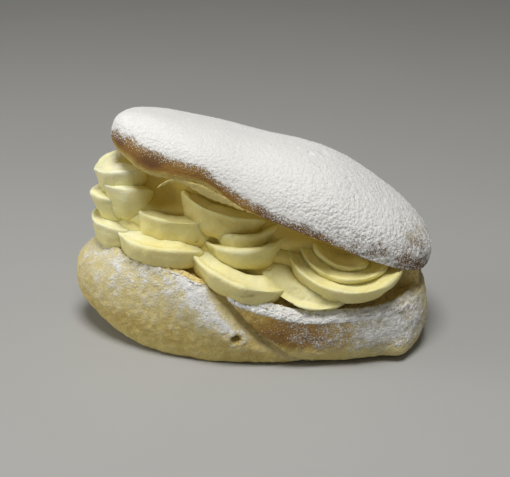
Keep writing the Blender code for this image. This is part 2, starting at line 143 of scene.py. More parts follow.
# Sugar and baking on the lid, whose levels are 1 at the cut edge, 1.5 at the widest line and 3 on top.
GRAINY_X, GRAINY_DEPTH = (-10, 55), (0.05, 0.21)
SUGAR_EDGE, SUGAR_FADE = 1.54, 0.15
SUGAR_LEFT, SUGAR_RIGHT = (-38, -56, 0, 0.14), (5, 60, 0, 0.16)
THIN_LEVEL, THIN_X, THIN_END, THIN_MOST = (1.5, 2.0), (-5, 50), (48, 66, 1, 1.5), 0.45
GROOVE_BARE, GROOVE_FROM = 0.22, (-0.1, 0.25)
VEIL_LEVEL, VEIL_X, VEIL_THIN, VEIL_BROWN = (1.9, 2.5), (52, 65), 0.85, 0.3
BROWN_FROM, BROWN_TO, BROWN_LEAST, BROWN_MOST = (1.12, 1.42), (1.62, 2.0), 0.24, 0.64
CLUMPS_LEVEL, CLUMPS_X, CLUMPS_LEAST = (1.6, 2.4), (0, 40), 0.35

# Sugar and baking on the base, whose levels are 1 at the edge of the sole and 2 at the rim.
FRONT_FROM, LIP_FROM, LOBE_FROM = (2, 16), (0.5, 3.0), (1, 5)
DUST_LEVEL, DUST_MOST, DUST_BEHIND = (1.35, 2.05), 0.62, 0.75
CREST_DUST, CREST_DUST_HALF, CREST_DUST_UP = 0.3, 7, (8, 24)
BAND_LEVEL, BAND_DUST = (1.955, 1.985), (48, 62, 0.95, 0.65)
LIP_DUST, LIP_DUST_LEVEL, LIP_DUST_RIGHT = 0.08, (1.42, 1.85, 0, 0.42), (30, 54, 0, 0.24)
LIP_BARE, LIP_BARE_X = 0.8, (4, 22)
VALLEY_DUST = 0.36
LIP_BROWN, LIP_BROWN_X, LIP_BROWN_LEVEL, LIP_BROWN_LEAST = 0.42, (20, 30), (1.86, 0.34), 0.22
BASE_BROWN, LOBE_BROWN, LOBE_BROWN_LEVEL = 0.16, 0.1, (1.6, 0.5)

# Rows and meridians of the fine surfaces, and how many grains and crumbs lie on them.
LID_MERIDIANS, BASE_MERIDIANS, WEB_SIDES, CORE_MERIDIANS, RIBBON_SIDES = 520, 540, 96, 240, 56
RIBBON_STEP = 0.8
GRAINS, GRAIN_SIZE = 9000, (0.08, 0.2)
CRUMBS, CRUMB_SIZE = 60, (0.2, 0.5)

# Camera: degrees round the bun and above it, metres to its target, and its lens in millimetres.
CAMERA_TURN, CAMERA_RISE = 6.0, 26.0
CAMERA_AWAY, CAMERA_LENS, CAMERA_SENSOR = 0.457, 80.0, 36
CAMERA_TARGET = Vector((0.0016, -0.00085, 0.0402))

# Screen colours of the finishes, each part from 0 to 255.
DOUGH_PALE, DOUGH_GOLD = (220, 202, 126), (194, 165, 82)
DOUGH_BROWN, DOUGH_DARK = (148, 107, 36), (108, 70, 24)
CRUMB_PORE, CRUMB_PALE = (188, 160, 88), (232, 212, 146)
SUGAR_THIN, SUGAR_FILM, SUGAR_WHITE = (232, 218, 150), (240, 235, 212), (241, 240, 237)
# The cream's deep colour is painted shade for its folds and the hollows under the lid, and its crest colour
# is a painted highlight for its lit crests.
CREAM_PAINTED_SHADE, CREAM_BODY = (224, 199, 98), (235, 225, 155)
CREAM_PAINTED_HIGHLIGHT, CREAM_DUSTED = (241, 239, 202), (246, 243, 226)
PAPER_DARK, PAPER_PALE = (168, 168, 166), (174, 174, 172)

# Lumps a metre in each texture of the finishes.
FINE_GRAIN, COARSE_GRAIN, PATCHES, PORES, CLUMPS = 1300, 480, 110, 620, 780
CREAM_PATCHES, CREAM_GRAIN, PAPER_PATCHES = 90, 900, 8

# Lamps in metres and watts, each with its place, power and colour, and the light of the room.
LAMPS = {
    "lamp_above": ((0.0, -0.22, 0.75), 4.7, (1.0, 0.995, 0.98)),
    "lamp_left": ((-0.7, -0.05, 0.35), 0.8, (1.0, 0.99, 0.96)),
    "lamp_low": ((-0.72, -0.2, 0.12), 1.1, (1.0, 0.99, 0.95)),
}
LAMP_SIZE = 0.3
ROOM_COLOUR, ROOM_LIGHT = (1.0, 0.97, 0.92, 1.0), 0.12


def ease(x, low, high, before=0, after=1):
    """Smooth step of x, from before at low to after at high: 3 t squared less 2 t cubed."""
    t = np.clip((x - low) / (high - low), 0, 1)
    return before + (after - before) * t * t * (3 - 2 * t)


def hump(x, middle, half):
    """Smooth hump of x: 1 at the middle, 0 from half away on either side."""
    return ease(abs(x - middle), 0, half, 1, 0)


def signed_power(x, exponent):
    """Power of the size of x, with the sign of x."""
    return np.sign(x) * abs(x) ** exponent


def plan(turn, right, left, front, back, full_right, full_left):
    """Outline seen from above: a superellipse with unlike halves, fuller or more pointed at each end."""
    c, s = np.cos(turn), np.sin(turn)
    full = full_left + (full_right - full_left) * (1 + c) / 2
    k = (abs(c) ** full + abs(s) ** full) ** (-1 / full)
    return np.where(c > 0, right, left) * c * k, np.where(s > 0, back, front) * s * k


def rim_height(x):
    """Height of the cut face of the base along its length."""
    return RIM_LEFT + sum(ease(x, *step) for step in RIM_STEPS)


def crease_x(z):
    """Place of the crease along the bun at a height: a parabola."""
    down = CREASE_TOP - z
    return CREASE_START + CREASE_SLOPE * down + CREASE_BEND * down**2


def side_profile(level, waist, top, rim, foot):
    """Share of the plan, and height, of the side at a level from 1 at the sole to 2 at the rim:
    a rounded foot below the waist and a superellipse arc above it."""
    last = np.arcsin(np.clip((rim - waist) / (top - waist), 0, 1) ** (SIDE_CROWN / 2))
    rise = -np.pi / 2 + (level - 1) * (last + np.pi / 2)
    turned = abs(np.sin(rise))
    under = foot + (1 - foot) * abs(np.cos(rise)) ** SIDE_UNDER
    over = np.cos(np.maximum(rise, 0)) ** (2 / SIDE_CROWN)
    low = waist * (1 - turned**SIDE_RISE)
    high = waist + (top - waist) * turned ** (2 / SIDE_CROWN)
    return np.where(rise < 0, under, over), np.where(rise < 0, low, high)


def crust_relief(x, y, z):
    """How far the front crust stands out: a lobe at the left, a valley by the crease, a lip, a low lump."""
    along = x - crease_x(z)
    valley = np.where(along < 0, ease(along, -VALLEY_WIDTH, 0), ease(along, 0, LIP_STEP, 1, 0))
    valley = valley * VALLEY_DEPTH * ease(z, *VALLEY_UP)
    lobe = LOBE_OUT * hump(along, -VALLEY_WIDTH - LOBE_HALF / 2, LOBE_HALF) * ease(z, *LOBE_UP)
    lip = LIP_OUT * hump(along, LIP_STEP + LIP_HALF / 2, LIP_HALF) * ease(z, *LIP_UP)
    lump = LUMP_OUT * hump(x, LUMP_AT[0], LUMP_HALF) * hump(z, LUMP_AT[1], LUMP_HALF)
    return (lobe + lip + lump - valley) * ease(-y, *RELIEF_FRONT)


def follow_crease(turn, level):
    """Turns the front meridians with the level, so that one of them runs along the crease."""
    out, up = side_profile(np.clip(level, 1, 2), *FRONT_SIDE)
    share = np.clip(crease_x(up) / (BASE_PLAN["right"] * out), -CREASE_REACH, CREASE_REACH)
    wanted = -np.arctan2((1 - abs(share) ** FRONT_FULL) ** (1 / FRONT_FULL), share)
    front = np.minimum(np.sin(turn), 0) ** 2
    return turn + (wanted + np.pi / 2) * front


def base_surface(turn, level):
    """Base at a turn round it and a level: 0 sole centre, 1 sole edge, 2 rim, 3 centre of the cut face."""
    turn = follow_crease(turn, level)
    px, py = plan(turn, **BASE_PLAN)
    waist, top = ease(px, *BASE_WAIST), ease(px, *BASE_TOP)
    rim = rim_height(RIM_SHARE * px) - ease(RIM_SHARE * px, *BEVEL)
    side = np.clip(level, 1, 2)
    out, up = side_profile(side, waist, top, rim, ease(px, *BASE_FOOT))
    out_front, up = side_profile(side, waist, top, rim, ease(px, *BASE_FRONT_FOOT))
    x, y = px * out, py * out_front
    y = y - crust_relief(x, y, up)
    inward = np.clip(level - 2, 0, 1)
    depth = inward * np.hypot(x, y)
    x, y = x * (1 - inward), y * (1 - inward)
    edge = ease(x, *BEVEL) * ease(depth, 0, BEVEL_WIDTH, 1, 0)
    gutter = GUTTER * ease(depth, *GUTTER_FROM) * ease(depth, *GUTTER_TO, 1, 0)
    cut = rim_height(x) - edge - gutter
    share = np.clip(level, 0, 1)
    x, y = x * share, y * share
    z = np.where(level <= 1, 0, np.where(level <= 2, up, cut))
    return x, y, z + ease(x, *LIFT_ALONG) * ease(z, *LIFT_UP)


def place_lid(x, y, z):
    """Moves a point of the lid to its place: drooped at the right, rolled open at the left, pitched."""
    z = z - ease(x, *LID_DROOP)
    roll = np.radians(LID_ROLL + LID_ROLL_PER_MM * x)
    pitch = np.radians(LID_PITCH)
    y, z = (
        LID_FOLD_Y + (y - LID_FOLD_Y) * np.cos(roll) + z * np.sin(roll),
        z * np.cos(roll) - (y - LID_FOLD_Y) * np.sin(roll),
    )
    x, z = x * np.cos(pitch) + z * np.sin(pitch), z * np.cos(pitch) - x * np.sin(pitch)
    return x + LID_AT[0], y + LID_AT[1], z + LID_AT[2]


def lid_surface(turn, level):
    """Lid at a turn round it and a level: 0 underside centre, 1 cut edge, 1.5 widest line, 3 top."""
    px, py = plan(turn, **LID_PLAN)
    wide, tuck, crown = ease(px, *LID_WIDE), ease(px, *LID_TUCK), ease(px, *LID_CROWN)
    lower = np.clip((level - 1) * 2, 0, 1) * np.pi / 2
    upper = np.clip((level - 1.5) / 1.5, 0, 1) * np.pi / 2
    out = np.where(level <= 1.5, tuck + (1 - tuck) * np.sin(lower), abs(np.cos(upper)) ** (2 / crown))
    height = LID_HEIGHT + ease(px * out, *LID_THIN) + LID_SWELL * hump(px * out, LID_SWELL_AT, LID_SWELL_HALF)
    domed = wide + (height - wide) * np.sin(upper) ** (2 / crown)
    up = np.where(level <= 1.5, wide * (1 - np.cos(lower)), domed)
    out = np.where(level <= 1, tuck * level, out)
    x, y = px * out, py * out
    near_edge = ease(level, *DIP_LEVEL[:2]) * ease(level, *DIP_LEVEL[2:], 1, 0) * ease(-y, *DIP_FRONT)
    dips = sum(depth * hump(x, at, DIP_HALF) for depth, at in LID_DIPS)
    return place_lid(x, y, up - dips * near_edge)


def web_surface(turn, level):
    """Web at a turn round its section and a level along it: its corners lie inside the base and the lid."""
    at = np.radians(WEB_FROM + (WEB_TO - WEB_FROM) * level)
    bx, by = plan(at, **BASE_PLAN)
    lx, ly = plan(at, **LID_PLAN)
    rim = rim_height(RIM_SHARE * bx)
    in_lid = np.full_like(lx, WEB_IN_LID)
    corners = np.array([
        (WEB_OUTER * bx, WEB_OUTER * by, rim - WEB_OUTER_DOWN),
        place_lid(WEB_OUTER * lx, WEB_OUTER * ly, in_lid),
        place_lid(WEB_LID_INNER * lx, WEB_LID_INNER * ly, in_lid),
        (WEB_BASE_INNER * bx, WEB_BASE_INNER * by, rim - WEB_INNER_DOWN),
    ])
    side = (turn / (2 * np.pi) % 1) * 4
    first = np.floor(side).astype(int) % 4
    part = side - np.floor(side)
    part = part + (ease(part, 0, 1) - part) * WEB_EASE
    pick = np.arange(corners.shape[2])
    start = corners[first, :, pick].T
    end = corners[(first + 1) % 4, :, pick].T
    point = start + (end - start) * part
    middle = corners.mean(axis=0)
    pinch = np.where(first == 0, WEB_PINCH * np.sin(np.pi * part), 0)
    shrink = np.clip(np.minimum(WEB_BLUNT * level, 1 - level) / WEB_TIP, 0, 1) ** 0.5
    return tuple(middle + (point - middle) * (1 - pinch) * shrink)


def swirl_surface(shape, turn, level):
    """Coiled ribbon at a turn round its section and a level along it, closing in and rising as it goes.
    The section is a superellipse with a raised outer crest, its top dished inward, drawn to pointed ends."""
    centre, lean, side, first, last, radius, fall, rise, width, height, fill = shape
    lean, side = np.radians(lean), np.radians(side)
    across = np.array([np.cos(side), 0, -np.sin(side)])
    back = np.array([0, np.cos(lean), np.sin(lean)])
    axis = np.cross(across, back)
    angle = np.radians(first + (last - first) * level)
    coils = (angle - np.radians(first)) / (2 * np.pi)
    crest = hump(turn, CREST_AT, CREST_HALF)
    out = signed_power(np.cos(turn), 2 / RIBBON_FULL) * width / 2 + CREST_OUT * crest
    up = signed_power(np.sin(turn), 2 / RIBBON_FULL) * height / 2 + CREST_UP * crest
    out = out + RIBBON_FLARE * np.sin(turn)
    up = up + RIBBON_DISH * out * (1 + np.sin(turn))
    up = up + fill * ease(-out, -width / 2, width / 2) * np.clip(np.sin(turn), 0, 1)
    length = np.radians(last - first) * radius
    taper = np.clip(np.minimum(level, 1 - level) * length / TIP_LENGTH, 0, 1) ** TIP_POINT
    radial = radius - fall * coils + out * taper
    axial = rise * coils + up * taper
    ways = across[:, None] * np.cos(angle) + back[:, None] * np.sin(angle)
    return tuple(np.array(centre)[:, None] + ways * radial + axis[:, None] * axial)


def core_share(turn, front):
    """Share of a plan that the cream fills at a turn, given its share at the front."""
    share = ease(-np.sin(turn), *CORE_TURN, CORE_BACK, front)
    share = share + (CORE_RIGHT - share) * ease(np.cos(turn), *CORE_ENDS)
    share = share + (CORE_LEFT - share) * ease(-np.cos(turn), *CORE_ENDS)
    waves = sum(hump(BASE_PLAN["right"] * np.cos(turn), at, CORE_WAVE_HALF) for at in CORE_WAVE_AT)
    return share - CORE_WAVE * waves * ease(-np.sin(turn), *CORE_TURN, 1, 0)


def core_surface(turn, level):
    """Body of the cream at a turn and a level: 0 underside centre, 1 its edge, 2 upper edge, 3 top centre."""
    bx, by = plan(turn, **BASE_PLAN)
    lx, ly = plan(turn, **LID_PLAN)
    lower = np.clip(level, 0, 1) * core_share(turn, CORE_FRONT_LOW)
    upper = np.clip(3 - level, 0, 1) * core_share(turn, CORE_FRONT_HIGH)
    low = np.array([bx * lower, by * lower, rim_height(bx * lower) - CORE_SINK])
    high = np.array(place_lid(lx * upper, ly * upper, np.full_like(lx, CORE_SINK)))
    part = np.clip(level - 1, 0, 1)
    point = low + (high - low) * part
    bulge = 1 + CORE_BULGE * np.sin(np.pi * part)
    return point[0] * bulge, point[1] * bulge, point[2]


def even(turn):
    """Leaves the meridians evenly spread."""
    return turn


def near_front(turn):
    """Gathers the meridians towards the front of the bun."""
    return -np.pi / 2 + turn - 0.42 * np.sin(turn)


def lattice(ix, iy, iz, seed):
    """A repeatable value from 0 to 1 for each whole-number point: its coordinates mixed bit by bit."""
    h = (ix * 374761393 + iy * 668265263 + iz * 1442695041 + seed * 974634777) & 0xFFFFFFFF
    h = ((h ^ (h >> 13)) * 1274126177) & 0xFFFFFFFF
    h = ((h ^ (h >> 15)) * 2246822519) & 0xFFFFFFFF
    return ((h ^ (h >> 16)) & 0xFFFF) / 65535


def noise(points, size, seed=0):
    """Smooth noise from -1 to 1 with lumps of one size: lattice values blended across each cell."""
    place = np.asarray(points, float) / size
    cell = np.floor(place).astype(np.int64)
    part = place - cell
    part = part * part * (3 - 2 * part)
    total = 0
    for corner in np.ndindex(2, 2, 2):
        weight = np.prod(np.where(corner, part, 1 - part), axis=-1)
        total = total + weight * lattice(*(cell + corner).T, seed)
    return 2 * total - 1


def rough(points, size, seed, layers, depth):
    """Noise of a size and depth, with finer layers at half the size and strength each."""
    return depth * sum(noise(points, size / 2**k, seed + 17 * k) * 0.5**k for k in range(layers))


def lumps(points, size, seed):
    """Round lumps packed side by side: 1 at scattered middles, falling with the square of the distance
    to the nearest of them, which lies in the cell of the point or in one beside it."""
    place = np.asarray(points, float) / size
    cell = np.floor(place).astype(np.int64)
    nearest = np.ones(len(place))
    for step in np.ndindex(3, 3, 3):
        near = cell + np.array(step) - 1
        middle = np.stack([lattice(*near.T, seed + k) for k in range(3)], axis=-1)
        nearest = np.minimum(nearest, ((near + middle - place) ** 2).sum(axis=1))
    return 1 - nearest


def pits(points, size, seed):
    """Depth of small pits scattered over a surface, where noise of a size comes near its top."""
    return PIT_DEPTH * ease(noise(points, size, seed), *PIT_SHARE)


class Shell:
    """Closed surface of rows by meridians in millimetres, worked on as whole arrays and then written.
    Its plain points stay where the smooth form has them, while its points take the relief."""

    def __init__(self, surface, levels, meridians, spread=even):
        levels = np.asarray(levels, float)
        turns = spread(np.linspace(-np.pi, np.pi, meridians, endpoint=False))
        level, turn = np.meshgrid(levels[1:-1], turns, indexing="ij")
        self.level = np.append(level.ravel(), levels[[0, -1]])
        self.turn = np.append(turn.ravel(), [0, 0])
        self.points = self.plain = np.array(surface(self.turn, self.level)).T
        index = np.arange(level.size).reshape(level.shape)
        after = np.roll(index, -1, axis=1)
        quads = np.stack([index[:-1], after[:-1], after[1:], index[1:]], axis=-1).reshape(-1, 4)
        halves = np.concatenate([quads[:, [0, 1, 2]], quads[:, [0, 2, 3]]])
        south, north = np.full(meridians, level.size), np.full(meridians, level.size + 1)
        caps = np.concatenate([
            np.stack([after[0], index[0], south], axis=-1),
            np.stack([index[-1], after[-1], north], axis=-1),
        ])
        self.triangles = np.concatenate([halves, caps])
        if np.linalg.det(self.points[self.triangles]).sum() < 0:
            self.triangles = self.triangles[:, ::-1]
        self.masks = {}

    def face_normals(self):
        """Normal of each triangle, as long as twice its area."""
        a, b, c = (self.points[self.triangles[:, k]] for k in range(3))
        return np.cross(b - a, c - a)

    def normals(self):
        """Unit normal of each point: the sum of its triangles' normals."""
        face = self.face_normals()
        total = np.zeros_like(self.points)
        for k in range(3):
            for axis in range(3):
                total[:, axis] += np.bincount(
                    self.triangles[:, k], weights=face[:, axis], minlength=len(total)
                )
        return total / np.maximum(np.linalg.norm(total, axis=1, keepdims=True), 1e-9)

    def push(self, amount):
        """Moves each point out along its normal by an amount in millimetres."""
        self.points = self.points + self.normals() * amount[:, None]

    def fill(self, **masks):
        """Gives each mask one value all over."""
        self.masks = {key: np.full(len(self.points), value) for key, value in masks.items()}


def write_mesh(name, points, faces, masks, material):
    """One object from points, triangles and masks: in metres, shaded smooth, riding the bun."""
    mesh = bpy.data.meshes.new(name)
    mesh.vertices.add(len(points))
    mesh.vertices.foreach_set("co", ((points + TO_CENTRE) * MM).ravel())
    mesh.loops.add(faces.size)
    mesh.loops.foreach_set("vertex_index", faces.ravel())
    mesh.polygons.add(len(faces))
    mesh.polygons.foreach_set("loop_start", np.arange(0, faces.size, 3))
    mesh.polygons.foreach_set("loop_total", np.full(len(faces), 3))
    mesh.update(calc_edges=True)
    mesh.polygons.foreach_set("use_smooth", np.ones(len(faces), bool))
    for key, values in masks.items():
        mesh.attributes.new(key, "FLOAT", "POINT").data.foreach_set("value", np.clip(values, 0, 1))
    mesh.materials.append(material)
    piece = bpy.data.objects.new(name, mesh)
    bpy.context.scene.collection.objects.link(piece)
    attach(piece, "root")
    return piece


def write_shells(name, shells, material, replaced=None):
    """One object from shells side by side; it takes the place of a node where one is named."""
    points = np.concatenate([shell.points for shell in shells])
    starts = np.cumsum([0] + [len(shell.points) for shell in shells])
    faces = np.concatenate([shell.triangles + start for shell, start in zip(shells, starts)])
    masks = {
        key: np.concatenate([shell.masks[key] for shell in shells]) for key in shells[0].masks
    }
    piece = write_mesh(name, points, faces, masks, material)
    if replaced:
        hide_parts(replaced)
    return piece


def pebble(cuts):
    """Points and triangles of an octahedron on the unit sphere, its triangles cut in four some times."""
    points = np.array([(1, 0, 0), (-1, 0, 0), (0, 1, 0), (0, -1, 0), (0, 0, 1), (0, 0, -1)], float)
    faces = np.array([
        (0, 2, 4), (2, 1, 4), (1, 3, 4), (3, 0, 4), (2, 0, 5), (1, 2, 5), (3, 1, 5), (0, 3, 5)
    ])
    for _ in range(cuts):
        a, b, c = (points[faces[:, k]] for k in range(3))
        soup = np.stack([a, a + b, c + a, a + b, b, b + c, c + a, b + c, c, a + b, b + c, c + a], axis=1)
        soup = soup.reshape(-1, 3)
        soup = soup / np.linalg.norm(soup, axis=1, keepdims=True)
        points, faces = np.unique(np.round(soup, 6), axis=0, return_inverse=True)
        faces = faces.reshape(-1, 3)
    return points, faces


def scatter(name, shell, weight, count, sizes, cuts, material, seed, masks):
    """Small rough pebbles lying on a shell, thickest where a weight of its points is high. Each is a ball
    with its own size, bumps, angle and tilt."""
    random = np.random.default_rng(seed)
    area = np.linalg.norm(shell.face_normals(), axis=1) * weight[shell.triangles].mean(axis=1)
    chosen = random.choice(len(area), count, p=area / area.sum())
    corners = shell.points[shell.triangles[chosen]]
    share = random.dirichlet((1, 1, 1), count)
    places = (corners * share[:, :, None]).sum(axis=1)
    ball, faces = pebble(cuts)
    size = random.uniform(*sizes, (count, 1, 1)) * random.uniform(0.7, 1.3, (count, 1, 3))
    rocks = ball * size
    apart = ball * 3 + random.uniform(0, 99, (count, 1, 3))
    bumps = 1 + 0.3 * noise(apart.reshape(-1, 3), 1.6, seed).reshape(count, -1, 1)
    angle = random.uniform(0, 2 * np.pi, (count, 1))
    tilt = random.uniform(-0.8, 0.8, (count, 1))
    x, y, z = np.moveaxis(rocks * bumps, 2, 0)
    x, y = x * np.cos(angle) - y * np.sin(angle), x * np.sin(angle) + y * np.cos(angle)
    x, z = x * np.cos(tilt) - z * np.sin(tilt), x * np.sin(tilt) + z * np.cos(tilt)
    points = (np.stack([x, y, z], axis=-1) + places[:, None]).reshape(-1, 3)
    faces = (faces[None] + np.arange(count)[:, None, None] * len(ball)).reshape(-1, 3)
    filled = {key: np.full(len(points), value) for key, value in masks.items()}
    return write_mesh(name, points, faces, filled, material)


def rgb(*screen):
    """Linear colour of a screen colour given from 0 to 255."""
    shares = np.array(screen) / 255
    return tuple(np.where(shares <= 0.04045, shares / 12.92, ((shares + 0.055) / 1.055) ** 2.4))


class Value:
    """A number that varies over a surface: each sign written on it adds one Math node."""

    def __init__(self, finish, socket):
        self.finish, self.socket = finish, socket

    def __add__(self, other):
        return self.finish.math("ADD", self, other)

    def __sub__(self, other):
        return self.finish.math("SUBTRACT", self, other)

    def __mul__(self, other):
        return self.finish.math("MULTIPLY", self, other)

    def __rsub__(self, other):
        return self.finish.math("SUBTRACT", other, self)

    def clamp(self):
        """Held between 0 and 1."""
        return self.finish.math("ADD", self, 0.0, clamp=True)

    def step(self, low, high):
        """Smooth step from 0 at low to 1 at high."""
        made = self.finish.node(
            "ShaderNodeMapRange", {"interpolation_type": "SMOOTHSTEP"}, [self, low, high, 0.0, 1.0]
        )
        return Value(self.finish, made.outputs[0])


class Finish:
    """One procedural material, built from nodes that all come from node()."""

    def __init__(self, name, **constants):
        self.material = bpy.data.materials.new(name)
        self.material.use_nodes = True
        self.tree = self.material.node_tree
        self.shader = self.tree.nodes["Principled BSDF"]
        for key, value in constants.items():
            self.shader.inputs[key.replace("_", " ")].default_value = value

    def node(self, kind, settings=None, sockets=()):
        """A node of a kind, its settings first, then its sockets, listed in order or named in a dict."""
        made = self.tree.nodes.new(kind)
        for key, value in (settings or {}).items():
            setattr(made, key, value)
        named = sockets.items() if isinstance(sockets, dict) else enumerate(sockets)
        for key, value in named:
            if isinstance(value, Value):
                value = value.socket
            if isinstance(value, bpy.types.NodeSocket):
                self.tree.links.new(value, made.inputs[key])
            else:
                made.inputs[key].default_value = value
        return made

    def math(self, operation, *values, clamp=False):
        """Math node on values and numbers."""
        made = self.node("ShaderNodeMath", {"operation": operation, "use_clamp": clamp}, values)
        return Value(self, made.outputs[0])

    def mask(self, name):
        """A mask stored at the points of the mesh."""
        made = self.node("ShaderNodeAttribute", {"attribute_name": name})
        return Value(self, made.outputs["Fac"])

    def texture(self, kind, output, **sockets):
        """A texture read over Object coordinates."""
        place = self.node("ShaderNodeTexCoord").outputs["Object"]
        made = self.node(kind, None, {"Vector": place, **sockets})
        return Value(self, made.outputs[output])

    def grain(self, per_metre, detail=3.0, roughness=0.55):
        """Noise from 0 to 1, with this many lumps a metre."""
        return self.texture(
            "ShaderNodeTexNoise", "Fac", Scale=per_metre, Detail=detail, Roughness=roughness
        )

    def cells(self, per_metre):
        """Distance to the nearest of many scattered points, for pores and grains."""
        return self.texture("ShaderNodeTexVoronoi", "Distance", Scale=per_metre)

    def blend(self, first, second, share):
        """Colour mixed from first to second by a share."""
        ends = [(*colour, 1.0) if isinstance(colour, tuple) else colour for colour in (first, second)]
        made = self.node("ShaderNodeMix", {"data_type": "RGBA"}, {0: share, 6: ends[0], 7: ends[1]})
        return made.outputs[2]

    def surface(self, colour, roughness=None, height=None, depth=0.0002, strength=1.0):
        """Joins a colour, a roughness and a height, through a Bump, to the shader."""
        self.tree.links.new(colour, self.shader.inputs["Base Color"])
        if roughness is not None:
            self.tree.links.new(roughness.socket, self.shader.inputs["Roughness"])
        if height is not None:
            bump = self.node(
                "ShaderNodeBump", None, {"Height": height, "Distance": depth, "Strength": strength}
            )
            self.tree.links.new(bump.outputs[0], self.shader.inputs["Normal"])
        return self.material


def bread_finish():
    """Baked dough from pale to brown, open crumb where torn, and fine sugar lying in grains over it."""
    made = Finish("baked_dough", Roughness=0.72)
    fine, coarse, patch = made.grain(FINE_GRAIN, 3, 0.7), made.grain(COARSE_GRAIN, 4), made.grain(PATCHES)
    sugar, brown, crumb = made.mask("sugar"), made.mask("brown"), made.mask("crumb")
    bake = (brown + (patch - 0.5) * 0.35 + (coarse - 0.5) * 0.3).clamp()
    colour = made.blend(rgb(*DOUGH_PALE), rgb(*DOUGH_GOLD), bake.step(0.08, 0.42))
    colour = made.blend(colour, rgb(*DOUGH_BROWN), bake.step(0.36, 0.7))
    colour = made.blend(colour, rgb(*DOUGH_DARK), bake.step(0.68, 1.0))
    pores = made.cells(PORES)
    open_crumb = made.blend(rgb(*CRUMB_PORE), rgb(*CRUMB_PALE), pores.step(0.05, 0.4))
    colour = made.blend(colour, open_crumb, crumb.step(0.3, 0.7))
    speckle = (fine - 0.5) * 3.2 + (coarse - 0.5) * 0.5
    film = (sugar * 1.15 + speckle * 0.35 * sugar).clamp() * (1.0 - bake.step(0.2, 0.6) * 0.9)
    colour = made.blend(colour, made.blend(rgb(*SUGAR_THIN), rgb(*SUGAR_FILM), film), film)
    lying = (sugar * 1.7 - 0.62 + speckle * (1.15 - sugar) * 1.25).step(0.15, 0.75)
    colour = made.blend(colour, rgb(*SUGAR_WHITE), lying)
    clump = (1.0 - made.cells(CLUMPS)) * made.mask("clumps")
    height = fine * 0.7 + clump * lying * 0.9 + coarse * 0.4 + crumb * pores.step(0.0, 0.4) * 0.4
    return made.surface(colour, lying * 0.15 + 0.68, height, 0.0009, 0.9)


def cream_finish():
    """Pale yellow piped cream: a painted highlight lightens its crests and painted shade deepens its folds,
    with random tone over both and soft light through it.
    """
    made = Finish(
        "piped_cream",
        Subsurface_Weight=0.3,
        Subsurface_Radius=(1.0, 0.78, 0.35),
        Subsurface_Scale=0.0025,
    )
    wide, fine = made.grain(CREAM_PATCHES), made.grain(CREAM_GRAIN, 4)
    sugar, crest = made.mask("sugar"), made.mask("crest")
    # The crest mask is painted light: pale where crests and upper faces catch the light, deep in folds, in
    # the pocket and under the lid. The noise adds random tone.
    share = (crest + (wide - 0.5) * 0.5 + (fine - 0.5) * 0.25).clamp()
    colour = made.blend(rgb(*CREAM_PAINTED_SHADE), rgb(*CREAM_BODY), share.step(0.0, 0.5))
    colour = made.blend(colour, rgb(*CREAM_PAINTED_HIGHLIGHT), share.step(0.5, 1.0))
    lying = (sugar * 1.2 + (fine - 0.5) * 1.5 * (1.0 - sugar) - 0.1).step(0.35, 0.8)
    colour = made.blend(colour, rgb(*CREAM_DUSTED), lying)
    return made.surface(colour, wide * 0.16 + 0.46, fine, 0.0004, 0.75)


def roughen_lid(shell):
    """Grain, waves, torn edge, dimple and kink of the lid. Gives back the height of its grain."""
    x, y, _ = shell.plain.T
    grain = rough(shell.points, *LID_GRAIN) * ease(x, *GRAINY_X, *GRAINY_DEPTH)
    shell.push((grain + rough(shell.points, *LID_WAVES)) * ease(shell.level, 1.0, 1.3))
    torn = rough(shell.points, *LID_TORN) + rough(shell.points, *LID_RAGGED)
    shell.push(torn * hump(shell.level, 1, 0.1))
    dimple = ease(np.hypot(x - DIMPLE_AT[0], y - DIMPLE_AT[1]), 0.3, DIMPLE_RADIUS, DIMPLE_DEPTH, 0)
    kink = ease(np.hypot((x - KINK_AT[0]) * 2, y - KINK_AT[1]), 0, KINK_RADIUS, KINK_DEPTH, 0)
    shell.push(-(dimple + kink) * (shell.level > 1.6))
    return grain


def dust_lid(shell, grain):
    """Masks of the lid: sugar down to a wandering edge and thin at the right end, brown below it and
    open crumb underneath."""
    x, level = shell.plain[:, 0], shell.level
    side = (level > 1).astype(float)
    wander = rough(shell.points, *SUGAR_WANDER)
    edge = SUGAR_EDGE - ease(x, *SUGAR_LEFT) - ease(x, *SUGAR_RIGHT)
    sugar = ease(level + wander, edge - SUGAR_FADE, edge + SUGAR_FADE) * side
    veil = ease(x, *VEIL_X) * ease(level, *VEIL_LEVEL, 1, 0)
    thin = ease(level, *THIN_LEVEL, 1, 0) * ease(x, *THIN_X) * ease(x, *THIN_END)
    thin = np.maximum(thin, VEIL_THIN * veil)
    sugar = sugar * (1 - THIN_MOST * thin * (0.6 + 0.5 * noise(shell.points, 5, 8)))
    sugar = sugar * (1 - GROOVE_BARE * ease(-grain, *GROOVE_FROM) * ease(x, *GRAINY_X))
    brown = ease(level + wander, *BROWN_FROM) * ease(level, *BROWN_TO, 1, 0) * side
    brown = BROWN_LEAST + brown * (BROWN_MOST + 0.3 * noise(shell.points, 9, 12)) + VEIL_BROWN * veil
    lumpy = ease(x, *CLUMPS_X) * ease(level + wander * 3, *CLUMPS_LEVEL, 1, 0)
    clumps = CLUMPS_LEAST + (1 - CLUMPS_LEAST) * lumpy
    return {"sugar": sugar, "brown": brown, "crumb": ease(level, 1.0, 1.06, 1, 0), "clumps": clumps}


def lid_crust():
    """Lid: domed crust under sugar, browned along its edge and pale below, lumpier at the right."""
    underside = np.linspace(0, 1, 16)[:-1] ** 0.6
    edge = np.linspace(1, 1.5, 24)[:-1]
    dome = 1.5 + np.linspace(0, 1, 146) ** 1.35 * 1.5
    shell = Shell(lid_surface, np.concatenate([underside, edge, dome]), LID_MERIDIANS)
    shell.masks = dust_lid(shell, roughen_lid(shell))
    return shell


